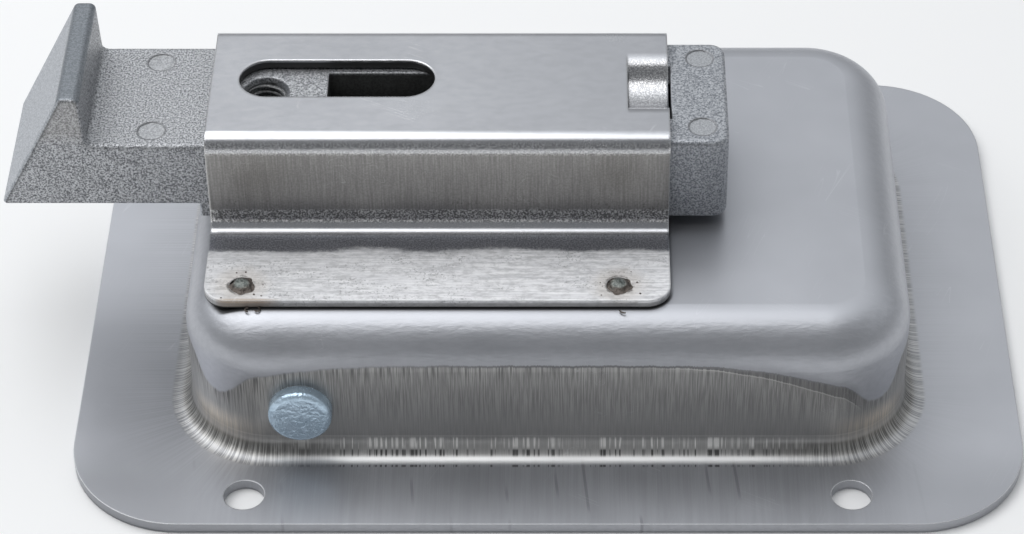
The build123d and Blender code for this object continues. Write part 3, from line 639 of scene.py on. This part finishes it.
def bracket_finish():
    """Satin folded stainless sheet: clean top, bright bends, rubbed brown-grey walls, a flecked bend at
    the feet, and feet brushed lengthways except close to the walls. The sheet is painted darker towards the
    right as shade. The slot's sides, the feet's edge faces and the crevice under the feet are painted dark
    as shade, and edges are painted light, as wear and as a caught highlight. Heat colours lie round the
    welds."""
    finish = Finish("bracket_satin", edge_radius=0.0004)
    board, point, coat = finish.board, finish.point, finish.coat
    step, drop, window, times = board.step, board.drop, board.window, board.times
    noise, largest, plus, minus = board.noise, board.largest, board.plus, board.minus
    x, y, z = board.split(point)
    tone = finish.effect(sheet_tone, Cloud=0.09, Grain=5.0)
    upright = finish.effect(streaks, Stretch=(4.4, 4.4, 0.16), Contrast=0.24)["Streaks"]
    brushed = finish.effect(streaks, Stretch=(0.11, 5.0, 2.0), Contrast=0.25)["Streaks"]
    heat = finish.effect(weld_heat, Ring=1.9, Halo=4.5)
    scratches = finish.effect(hair_scratches, Width=0.010, Share=0.35)["Scratches"]
    specks = step(noise(point, 4.6, 2.0, 0.6), 0.42, 0.62)
    pitted = noise(board.stretch(point, (0.16, 0.5, 0.3)), 1.0, 1.0, 0.5)
    pits = times(step(noise(point, 3.2, 2.0, 0.6), 0.57, 0.64), step(pitted, 0.42, 0.62))
    patches = step(noise(board.stretch(point, (0.5, 0.9, 0.9)), 1.0, 4.0, 0.65), 0.35, 0.7)
    blotches = step(noise(board.stretch(point, (0.7, 1.7, 1.0)), 1.0, 4.0, 0.7), 0.40, 0.66)
    grime = step(noise(point, 3.4, 3.0, 0.7), 0.40, 0.62)

    # Where a point lies
    top = bracket_high[2]
    off_line = board.unsigned(minus(y, bolt_line))
    outside = step(off_line, bracket_wall_half - 1.0, bracket_wall_half - 0.6)
    beside_wall = step(off_line, bracket_wall_half + 1.2, bracket_wall_half + 2.0)
    on_wall = times(window(z, foot_top + 1.5, top - 1.95, 0.2), outside)
    low_wall = times(on_wall, drop(z, foot_top + 2.0, foot_top + 7.5))
    on_foot = drop(z, foot_top + 0.2, foot_top + 0.6)
    drift = noise(board.stretch(point, (0.10, 0.3, 0.3)), 1.0, 2.0, 0.5)
    ragged = plus(board.swing(drift, 2.4), board.swing(noise(point, 2.2, 3.0, 0.7), 1.6))
    brush_start = bracket_wall_half + 4.4
    brushed_foot = times(step(plus(off_line, ragged), brush_start - 0.5, brush_start + 0.6), on_foot)
    strip = times(board.without(brushed_foot), on_foot, beside_wall)
    flecked = window(z, foot_top + 0.95, foot_top + 2.9, 0.25)
    shoulder = times(window(z, top - 2.3, top - 0.7, 0.2), outside)
    trough = times(step(x, trough_start, trough_start + 0.2), drop(off_line, 8.0, 9.0))
    trough = times(trough, window(z, top - 3.6, top - 0.2, 0.15))
    grainy = largest(shoulder, trough)
    near_weld = window(x, weld_low[0] - 1.5, weld_low[0] + 5.5, 1.5)
    front_edge = times(near_weld, step(y, foot_front + 0.5, foot_front + 0.1))
    in_slot = window(x, slot_low - 0.1, slot_high + 0.1, 0.05)
    # The slot's sides, where shade is painted
    slot_side = times(in_slot, drop(off_line, 5.2, 5.4), drop(z, top - 0.4, top - 0.25))

    walls = board.blend(upright, (0.275, 0.268, 0.26), (0.405, 0.395, 0.383))
    walls = board.blend(times(grime, 0.30), walls, (0.17, 0.165, 0.155))
    feet = board.blend(brushed, (0.70, 0.70, 0.72), (0.97, 0.97, 0.98))
    feet = board.blend(times(blotches, 0.46), feet, (0.42, 0.42, 0.43))
    feet = board.blend(step(x, -18.0, -36.0, 0.0, 0.16), feet, (0.46, 0.46, 0.46))
    feet = board.blend(times(pits, 0.42), feet, (0.16, 0.16, 0.17))
    flecks = board.blend(specks, (0.20, 0.195, 0.19), (0.92, 0.91, 0.89))
    finish.base(tone["Clouds"], (0.555, 0.56, 0.585), (0.62, 0.625, 0.65))
    # Painted shade: the sheet darker towards the right, as the light falls off
    coat(step(x, -20.0, 14.0, 0.0, 0.45), (0.43, 0.44, 0.465))
    coat(patches, (0.36, 0.37, 0.39), 0.16)
    coat(on_wall, walls)
    coat(strip, board.blend(specks, (0.34, 0.35, 0.40), (0.62, 0.63, 0.68)))
    coat(brushed_foot, feet)
    coat(flecked, flecks, 0.8)
    coat(grainy, flecks, 0.35)
    coat(times(low_wall, pits), (0.10, 0.095, 0.085), 0.6)
    coat(front_edge, (0.36, 0.25, 0.16), 0.7)
    coat(heat["Halo"], (0.42, 0.33, 0.22), 0.22)
    coat(heat["Ring"], (0.10, 0.09, 0.08), 0.75)
    coat(scratches, (0.82, 0.82, 0.83), 0.25)
    # Edges painted light: wear, and a painted highlight that they catch
    coat(finish.edge["Edge"], (0.95, 0.95, 0.95), 0.6)
    # Painted shade: the feet's edge faces darker below their top edge
    coat(drop(z, foot_top - 0.55, foot_top - 0.25), (0.22, 0.22, 0.22), 0.55)
    # Painted shade: near black in the crevice under the feet
    coat(drop(z, foot_top - 1.1, foot_top - 0.95), (0.03, 0.03, 0.03), 0.9)
    # Painted shade on the slot's sides, near black
    coat(slot_side, (0.035, 0.035, 0.032), 0.9)

    rough = step(tone["Clouds"], 0.2, 0.8, 0.20, 0.27)
    for mask, own_rough in ((on_wall, 0.32), (strip, 0.30), (brushed_foot, 0.62), (slot_side, 0.55)):
        rough = board.between(mask, rough, own_rough)
    rough = plus(rough, board.swing(tone["Grain"], 0.08))
    raised = plus(
        times(on_wall, upright),
        times(brushed_foot, brushed),
        times(largest(flecked, strip), specks),
        times(grainy, specks, 0.8),
    )
    height = plus(times(raised, 0.6), times(tone["Grain"], 0.12), times(scratches, -0.3))
    return finish.lay(rough, height, 0.010)


def weld_finish():
    """Weld metal: a rough brown-grey bead, grey-green on its crown and browner towards its rim."""
    finish = Finish("weld_bead", edge_radius=0.0001, metallic=0.9)
    board, point = finish.board, finish.point
    heat = finish.effect(weld_heat, Ring=1.2, Halo=2.0)
    grain = board.step(board.noise(point, 1.9, 3.0, 0.65), 0.3, 0.7)
    crown = board.step(board.split(point)[2], foot_top + 0.30, foot_top + 0.52)
    finish.base(grain, (0.085, 0.08, 0.072), (0.24, 0.225, 0.205))
    finish.coat(crown, board.blend(grain, (0.12, 0.145, 0.14), (0.40, 0.43, 0.41)), 0.8)
    finish.coat(board.without(heat["Ring"]), (0.13, 0.10, 0.088), 0.5)
    return finish.lay(board.step(grain, 0.0, 1.0, 0.36, 0.58), grain, 0.10)


def casting_finish():
    """Die-cast bolt: matte grey with a fine dark and light speckle, smoother and bluer on its nose's slope
    and its tail, dark along the nose's ridge. Its ejector marks are plain within a thin dark ring, the
    thread's mouth is dished and its hole painted dark as shade, and the spring's channel is painted dark,
    as grease and as shade in the recess."""
    finish = Finish("bolt_casting", edge_radius=0.00035, metallic=0.8)
    board, point, coat = finish.board, finish.point, finish.coat
    step, drop, window, times = board.step, board.drop, board.window, board.times
    noise, largest, plus, minus = board.noise, board.largest, board.plus, board.minus
    x, y, z = board.split(point)
    tone = finish.effect(sheet_tone, Cloud=0.10, Grain=4.0)
    speckle = plus(times(tone["Grain"], 0.6), times(noise(point, 7.5, 2.0, 0.6), 0.4))
    spots = step(speckle, 0.39, 0.61)

    # Ejector marks, channel and threaded hole
    off_line = board.unsigned(minus(y, bolt_line))
    beside_mark = minus(off_line, mark_spread / 2)
    reach = board.math("MINIMUM", *[board.distance(minus(x, place), beside_mark) for place in mark_places])
    on_top = window(z, bolt_top - 1.1, bolt_top + 0.3, 0.1)
    ring = times(window(reach, mark_radius - 0.1, mark_radius + 0.15, 0.1), on_top)
    inside = times(drop(reach, mark_radius - 0.25, mark_radius - 0.05), on_top)
    channel = times(
        drop(off_line, 3.95, 4.15),
        window(z, bolt_top - 9.45, bolt_top - 0.3, 0.15),
        window(x, coil_low[0] - 0.3, coil_high[0] + 5.0, 0.1),
    )
    from_hole = board.distance(minus(x, thread_place[0]), minus(y, thread_place[1]))
    dished = step(from_hole, thread_bore - 0.1, thread_bore + 0.65)
    in_hole = drop(from_hole, thread_bore - 0.05, thread_bore + 0.1)

    # Nose, tail and the near side's rounded edges, by the way they face
    facing = board.split(board.add("ShaderNodeTexCoord").outputs["Normal"])
    tilt = board.split(finish.effect(edge_wear_and_highlight, Radius=0.0008)["Normal"])
    slope = step(times(facing[0], -1.0), 0.3, 0.6)
    ridge = times(step(z, bolt_high[2] - 1.0, bolt_high[2] - 0.4), step(facing[1], -0.7, -0.4))
    tail = step(x, bracket_high[0] - 2.0, bracket_high[0])
    plain = largest(slope, times(ridge, 0.6), times(tail, 0.12))
    on_side = step(facing[1], -0.85, -0.95)
    beside_slope = times(step(tilt[0], -0.03, -0.22), on_side)
    below_top = times(step(tilt[2], 0.03, 0.22), on_side)
    nose_side = times(step(z, bolt_top - 1.0, bolt_top + 2.0), on_side)

    finish.base(spots, (0.12, 0.125, 0.135), (0.64, 0.65, 0.67))
    coat(tone["Clouds"], (0.44, 0.45, 0.47), 0.25)
    coat(plain, (0.47, 0.50, 0.545), 0.5)
    coat(tail, (0.25, 0.28, 0.33), 0.25)
    coat(ridge, (0.15, 0.17, 0.19), 0.72)
    coat(inside, (0.46, 0.47, 0.485), 0.55)
    coat(ring, (0.13, 0.13, 0.135), 0.6)
    coat(nose_side, (0.40, 0.385, 0.37), 0.4)
    coat(finish.edge["Edge"], (0.60, 0.61, 0.63), 0.4)
    coat(beside_slope, (0.10, 0.105, 0.11), 0.62)
    coat(below_top, (0.15, 0.155, 0.16), 0.35)
    # Painted shade inside the threaded hole
    coat(in_hole, (0.10, 0.10, 0.095), 0.6)
    # The spring's channel painted dark: grease, and painted shade in the recess
    coat(channel, (0.085, 0.088, 0.085), 0.9)
    rough = board.between(channel, step(spots, 0.0, 1.0, 0.56, 0.42), 0.5)
    speckled = times(speckle, step(plain, 0.0, 1.0, 1.0, 0.35))
    return finish.lay(rough, plus(speckled, times(dished, 5.0)), 0.09)


def pin_finish():
    """Blue zinc plate on a headed pin, rubbed silver at its rim. Its head's face is finely wrinkled: noise
    on points that a wider noise has carried off in swirls."""
    finish = Finish("pin_zinc", edge_radius=0.0005, metallic=0.7)
    board, point = finish.board, finish.point
    tone = finish.effect(sheet_tone, Cloud=0.30, Grain=4.0)
    swirl = board.add("ShaderNodeTexNoise", {"Vector": point, "Scale": 0.35, "Detail": 2.0}).outputs[1]
    wrinkles = board.noise(board.vector("ADD", point, board.stretch(swirl, (3.0, 3.0, 3.0))), 1.7, 2.0, 0.5)
    finish.base(tone["Clouds"], (0.46, 0.605, 0.73), (0.66, 0.80, 0.93))
    finish.coat(board.step(wrinkles, 0.36, 0.60, 0.07, 0.0), (0.24, 0.32, 0.40))
    finish.coat(finish.edge["Edge"], (0.88, 0.90, 0.90), 0.85)
    rough = board.step(tone["Grain"], 0.2, 0.8, 0.20, 0.28)
    return finish.lay(rough, board.plus(wrinkles, board.times(tone["Grain"], 0.015)), 0.11)


def paddle_finish():
    """Satin stainless paddle, brushed lengthways, with patches of hair scratches."""
    finish = Finish("paddle_satin", edge_radius=0.00022)
    board = finish.board
    tone = finish.effect(sheet_tone, Cloud=0.07, Grain=5.0)
    brushed = finish.effect(streaks, Stretch=(0.04, 3.2, 3.2), Contrast=0.28)["Streaks"]
    scratches = finish.effect(hair_scratches, Width=0.012, Share=0.5)["Scratches"]
    finish.base(brushed, (0.50, 0.505, 0.52), (0.64, 0.645, 0.66))
    finish.coat(tone["Clouds"], (0.53, 0.54, 0.56), 0.4)
    finish.coat(scratches, (0.80, 0.80, 0.81), 0.3)
    finish.coat(finish.edge["Edge"], (0.80, 0.80, 0.81), 0.5)
    rough = board.plus(board.step(brushed, 0.0, 1.0, 0.26, 0.36), board.swing(tone["Grain"], 0.08))
    return finish.lay(rough, board.minus(brushed, board.times(scratches, 0.5)), 0.008)


def chrome_finish():
    """Chrome plate on the key lock, with hair scratches from keys."""
    finish = Finish("lock_chrome", edge_radius=0.0002)
    board = finish.board
    tone = finish.effect(sheet_tone, Cloud=0.18, Grain=6.0)
    scratches = finish.effect(hair_scratches, Width=0.02, Share=0.6)["Scratches"]
    finish.base(tone["Clouds"], (0.66, 0.665, 0.68), (0.78, 0.785, 0.79))
    finish.coat(scratches, (0.50, 0.50, 0.51), 0.4)
    rough = board.plus(board.step(tone["Clouds"], 0.2, 0.8, 0.08, 0.15), board.times(scratches, 0.15))
    return finish.lay(rough, board.minus(tone["Grain"], scratches), 0.003)


def plain_finish(name, cloud, grain, tones, rough, depth, edge_radius, rubbed=None, rub=0.0):
    """A plain metal: clouds between two tones, and a fine grain in its roughness and its bump. Where a
    rubbed colour is given, edges take on that share of it."""
    finish = Finish(name, edge_radius=edge_radius)
    board = finish.board
    tone = finish.effect(sheet_tone, Cloud=cloud, Grain=grain)
    finish.base(tone["Clouds"], *tones)
    if rubbed:
        finish.coat(finish.edge["Edge"], rubbed, rub)
    return finish.lay(board.step(tone["Grain"], 0.2, 0.8, *rough), tone["Grain"], depth)


def wire_finish():
    """Drawn spring wire: grey with oil-dark clouds."""
    tones = ((0.30, 0.30, 0.30), (0.56, 0.555, 0.55))
    return plain_finish("spring_wire", 0.5, 6.0, tones, (0.24, 0.40), 0.01, 0.0001)


def clip_finish():
    """Blackened spring steel, rubbed bright along its stamped edges."""
    tones = ((0.13, 0.13, 0.14), (0.26, 0.26, 0.27))
    return plain_finish("clip_dark", 0.4, 5.0, tones, (0.34, 0.50), 0.01, 0.00012, (0.55, 0.55, 0.56), 0.6)


def plated_finish():
    """Bright zinc plate with a cloudy blue-white bloom."""
    tones = ((0.46, 0.48, 0.50), (0.66, 0.67, 0.68))
    return plain_finish("zinc_plate", 0.22, 3.5, tones, (0.26, 0.44), 0.012, 0.0002, (0.80, 0.81, 0.81), 0.5)


def brass_finish():
    """Stamped brass wafers, slightly dulled."""
    tones = ((0.58, 0.42, 0.18), (0.78, 0.62, 0.30))
    return plain_finish("wafer_brass", 0.3, 5.0, tones, (0.28, 0.42), 0.008, 0.0001)


finishes = {
    "pan_steel": pan_finish(),
    "bracket_steel": bracket_finish(),
    "weld_metal": weld_finish(),
    "bolt_casting": casting_finish(),
    "spring_wire": wire_finish(),
    "pin_plate": pin_finish(),
    "clip_steel": clip_finish(),
    "paddle_steel": paddle_finish(),
    "plated_steel": plated_finish(),
    "lock_chrome": chrome_finish(),
    "wafer_brass": brass_finish(),
}
for subpart in record["subparts"]:
    node = frame["nodes"][subpart["node"]]
    node.data.materials.clear()
    node.data.materials.append(finishes[subpart["material_slot"]])


# New pieces

def bolt_coil_shape():
    """Compression spring: a circle turned about the bolt's line while its place along X advances by the
    pitch, which is close to a wire's width in the end turns and opens out smoothly between them."""
    wire_radius = 0.55
    turns = 14.6
    steps_per_turn = 36
    closed_share = 0.42
    first_turn = 0.4
    turn = np.linspace(0.0, turns, int(turns * steps_per_turn) + 1)
    open_part = smooth(0.7, 1.3, turn) * smooth(0.7, 1.3, turns - turn)
    pitch = closed_share + (1.0 - closed_share) * open_part
    travelled = np.concatenate([[0.0], np.cumsum((pitch[1:] + pitch[:-1]) / 2)])
    start = coil_low[0] + wire_radius
    length = coil_high[0] - coil_low[0] - 2 * wire_radius
    middle = (coil_low + coil_high) / 2
    radius = (coil_high[2] - coil_low[2]) / 2 - wire_radius
    angle = 2 * np.pi * turn + first_turn
    along = start + length * travelled / travelled[-1]
    path = grid(along, middle[1] + radius * np.sin(angle), middle[2] + radius * np.cos(angle))
    return wire(path, np.array([1.0, 0.0, 0.0]), wire_radius)


def paddle_coil_shape():
    """Torsion spring: a straight leg, left-hand turns about the hinge axis, and a second straight leg.
    The legs run on along the tangents of the first and the last turn."""
    wire_radius = 0.5
    radius = 3.7
    pitch = 1.2
    drop = 0.068
    rise = math.radians(35.0)
    low_leg = 6.0
    high_leg = 12.3
    turns = 4 + (math.pi - rise - drop) / (2 * math.pi)
    angle = np.linspace(0.0, 2 * np.pi * turns, 170)[:, None]
    first = np.array([math.sin(drop), 0.0, -math.cos(drop)])
    second = np.array([-math.cos(drop), 0.0, -math.sin(drop)])
    along = np.array([0.0, 1.0, 0.0])
    start = np.array([hinge_axis[0], twist_low[1] + wire_radius, hinge_axis[2]])
    circle = radius * np.cos(angle) * first - radius * np.sin(angle) * second
    coil = start + circle + pitch * angle / (2 * np.pi) * along
    leg = np.linspace(0.0, 1.0, 12)[:, None]
    low = coil[0] + unit(coil[0] - coil[1]) * low_leg * (1.0 - leg)
    high = coil[-1] + unit(coil[-1] - coil[-2]) * high_leg * leg
    return wire(np.concatenate([low[:-1], coil, high[1:]]), along, wire_radius)


def bolt_thread_shape():
    """Thread in the pull-rod hole: a trapezium section, its wide side sunk in the bore, carried up a
    helix. It runs out into the bore at both ends, where its depth falls to nothing."""
    pitch = 0.8
    depth = 0.42
    sunk = 0.08
    run_out = 0.35
    end_sunk = 0.02
    steps_per_turn = 40
    turns = (thread_length - pitch) / pitch
    turn = np.linspace(0.0, turns, int(turns * steps_per_turn))[:, None]
    full = smooth(0.0, run_out, turn) * smooth(0.0, run_out, turns - turn)
    inward = np.array([-sunk, depth, depth, -sunk])
    upward = np.array([-0.36, -0.06, 0.06, 0.36]) * pitch
    angle = 2 * np.pi * turn
    radius = thread_bore - np.where(inward > 0, inward * full - end_sunk, inward)
    bottom = thread_place[2] - thread_length / 2 + pitch / 2
    across = thread_place[0] + radius * np.cos(angle)
    aside = thread_place[1] + radius * np.sin(angle)
    return closed_tube(grid(across, aside, bottom + pitch * turn + upward))


def weld_bead_shape(centre, turned):
    """Weld bead: a round dome, its height the root of one less the square of the share of its radius,
    on a low skirt. The skirt's outline swells to one side and in three, five and eight lobes, the more
    so the further out. It is closed below the foot's top."""
    dome_height = 0.50
    dome_share = 0.82
    skirt_height = 0.09
    skirt_share = 1.12
    sunk = 0.02
    root_depth = 0.25
    around = np.linspace(0.0, 2 * np.pi, 48, endpoint=False)
    lobes = 0.13 * np.cos(around + math.pi / 4)
    for count, swell, shift in ((3, 0.06, -1.7), (5, 0.06, 2.9), (8, 0.04, 1.0)):
        lobes = lobes + swell * np.sin(count * around + shift * turned)
    out = np.concatenate([np.linspace(0.04, 0.84, 16), [0.9, 0.98, 1.06, skirt_share]])[:, None]
    dome = dome_height * np.sqrt(np.clip(1 - (out / dome_share) ** 2, 0.0, None))
    skirt = skirt_height * (1 - smooth(0.85, skirt_share, out))
    ripple = 0.06 * np.sin(3 * around + turned) * out * (skirt_share - out)
    reach = weld_reach * out * (1 + lobes * out ** 3)
    level = foot_top + dome + skirt - sunk + ripple
    rings = grid(centre[0] + reach * np.cos(around), centre[1] + reach * np.sin(around), level)
    root = rings[-1:] * np.array([1.0, 1.0, 0.0]) + np.array([0.0, 0.0, foot_top - root_depth])
    return closed_tube(np.concatenate([rings, root])[::-1])


def whisker_shape(place, gap, radius, opening, turned):
    """Curl of thrown weld metal: a thin wire along part of a circle lying on the pan's floor, its middle
    at that place along the foot and that gap in front of it."""
    wire_radius = 0.1
    lift = 0.09
    angle = np.linspace(turned, turned + opening, 18)
    path = grid(place + radius * np.cos(angle), foot_front - gap + radius * np.sin(angle), floor_top + lift)
    return wire(path, np.array([0.0, 0.0, 1.0]), wire_radius, sides=8)


def pellet_shape(spot, size):
    """Pellet of spatter on a foot: half a ball, its rings shrinking as the cosine of their height angle."""
    sunk = 0.02
    rise = np.linspace(0.0, 0.47 * np.pi, 5)[:, None]
    around = np.linspace(0.0, 2 * np.pi, 10, endpoint=False)
    reach = size * np.cos(rise)
    level = foot_top - sunk + size * np.sin(rise)
    return closed_tube(grid(spot[0] + reach * np.cos(around), spot[1] + reach * np.sin(around), level))


def spatter_shape():
    """Spatter: pellets thrown at chance angles and distances about each weld, kept where they land on a
    foot, and three whiskers in front of the near foot."""
    count = 7
    margin = 0.4
    draw = np.random.default_rng(7)
    parts = []
    for place in weld_places:
        angles = draw.uniform(0.0, 2 * np.pi, count)
        reaches = draw.uniform(2.0, 3.6, count)
        sizes = draw.uniform(0.07, 0.15, count)
        for angle, reach, size in zip(angles, reaches, sizes):
            spot = place + reach * np.array([math.cos(angle), math.sin(angle)])
            if foot_front + margin < spot[1] < bracket_high[1] - margin:
                parts.append(pellet_shape(spot, size))
    parts.append(whisker_shape(-37.2, gap=0.45, radius=0.32, opening=3.6, turned=1.4))
    parts.append(whisker_shape(-36.0, gap=0.40, radius=0.34, opening=4.0, turned=3.6))
    parts.append(whisker_shape(9.6, gap=0.30, radius=0.75, opening=1.2, turned=3.6))
    return joined(parts)


bolt_coil = piece("bolt_coil", bolt_coil_shape(), "spring_wire")
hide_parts("bolt_spring")
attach(bolt_coil, "frame")
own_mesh(bolt_coil)

paddle_coil = piece("paddle_coil", paddle_coil_shape(), "spring_wire")
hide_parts("paddle_spring")
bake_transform(paddle_coil)

bolt_thread = piece("bolt_thread", bolt_thread_shape(), "bolt_casting")
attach(bolt_thread, "bolt")

bead_shapes = [weld_bead_shape(place, 1.3 + 2.1 * n) for n, place in enumerate(weld_places)]
weld_beads = piece("weld_beads", joined(bead_shapes), "weld_metal")
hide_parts("plug_welds")
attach(weld_beads, "frame")

weld_spatter = piece("weld_spatter", spatter_shape(), "weld_metal")
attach(weld_spatter, "frame")


# Stage, light and camera

def floor_finish():
    """Plain pale floor, seen through from below and by the front of the flange that lies on it."""
    close_by = 0.5 * MM
    material = bpy.data.materials.new("pale_floor")
    material.use_nodes = True
    board = Board(material.node_tree)
    shader = material.node_tree.nodes["Principled BSDF"]
    shader.inputs["Base Color"].default_value = shade((0.93, 0.93, 0.93))
    shader.inputs["Roughness"].default_value = 0.9
    shader.inputs["Specular IOR Level"].default_value = 0.1
    clear = board.add("ShaderNodeBsdfTransparent")
    under = board.add("ShaderNodeNewGeometry").outputs["Backfacing"]
    close = board.math("LESS_THAN", board.add("ShaderNodeLightPath").outputs["Ray Length"], close_by)
    seen_through = board.largest(under, close)
    mixed = board.add("ShaderNodeMixShader", {0: seen_through, 1: shader.outputs[0], 2: clear.outputs[0]})
    board.join(mixed.outputs[0], material.node_tree.nodes["Material Output"].inputs["Surface"])
    return material


def floor_shape():
    """Floor: a wide flat ring of four quads round an opening under the pan, as a door skin has."""
    outer = 3000.0
    margin = 1.0
    gap = 0.05
    corners = np.array([[-1, -1], [1, -1], [1, 1], [-1, 1]])
    opening = corners * (np.array([end_face, side_face]) - margin)
    points = np.concatenate([opening, corners * outer])
    faces = [[n, 4 + n, 4 + (n + 1) % 4, (n + 1) % 4] for n in range(4)]
    return grid(points[:, 0], points[:, 1], pan_bottom - gap), faces


def studio_world():
    """Studio walls: dim in front, where the camera stands, and lighter behind, more so higher up and to
    the left, with a lighter patch half-way up at each side."""
    world = bpy.data.worlds.new("studio")
    bpy.context.scene.world = world
    world.use_nodes = True
    board = Board(world.node_tree)
    sky = world.node_tree.nodes["Background"]
    x, y, z = board.split(board.add("ShaderNodeTexCoord").outputs["Generated"])
    behind = board.times(board.step(z, 0.2, 1.0, 0.44, 1.10), board.step(x, -0.5, 0.5, 1.12, 0.86))
    sides = board.times(board.step(board.unsigned(x), 0.62, 0.85), board.window(z, 0.32, 0.72, 0.14), 0.22)
    walls = board.between(board.step(y, -0.35, 0.35), 0.27, behind)
    sky.inputs["Color"].default_value = shade((0.945, 0.972, 1.0))
    board.join(board.plus(walls, sides), sky.inputs["Strength"])


def softbox(name, place, turn, size, power):
    """A rectangular area light over the floor, facing down and turned about its own middle. Its place and
    size are in metres."""
    lamp = bpy.data.lights.new(name, "AREA")
    lamp.shape = "RECTANGLE"
    lamp.size, lamp.size_y = size
    lamp.energy = power
    made = linked(name, lamp)
    made.location = place
    made.rotation_euler = (0.0, 0.0, math.radians(turn))
    made.visible_camera = False


def photo_camera(elevation, distance, looked_at, lens, shift):
    """The photograph's camera: in front of the lock, raised by that elevation in degrees, at that distance
    in metres from the point it looks at."""
    data = bpy.data.cameras.new("camera")
    data.sensor_width = 36.0
    data.lens = lens
    data.shift_x = shift
    camera = linked("camera", data)
    raised = math.radians(elevation)
    camera.location = np.array(looked_at) + distance * np.array([0.0, -math.cos(raised), math.sin(raised)])
    camera.rotation_euler = (math.pi / 2 - raised, 0.0, 0.0)
    bpy.context.scene.camera = camera


floor = linked("floor", new_mesh("floor", floor_shape(), floor_finish()))
studio_world()
softbox("overhead", place=(-0.44, 0.06, 0.72), turn=18.0, size=(0.95, 0.80), power=4.45)
photo_camera(
    elevation=41.356, distance=0.435219, looked_at=(0.002798, 0.004234, 0.0015), lens=113.25, shift=-0.05686
)
bpy.context.scene.view_settings.view_transform = "Standard"
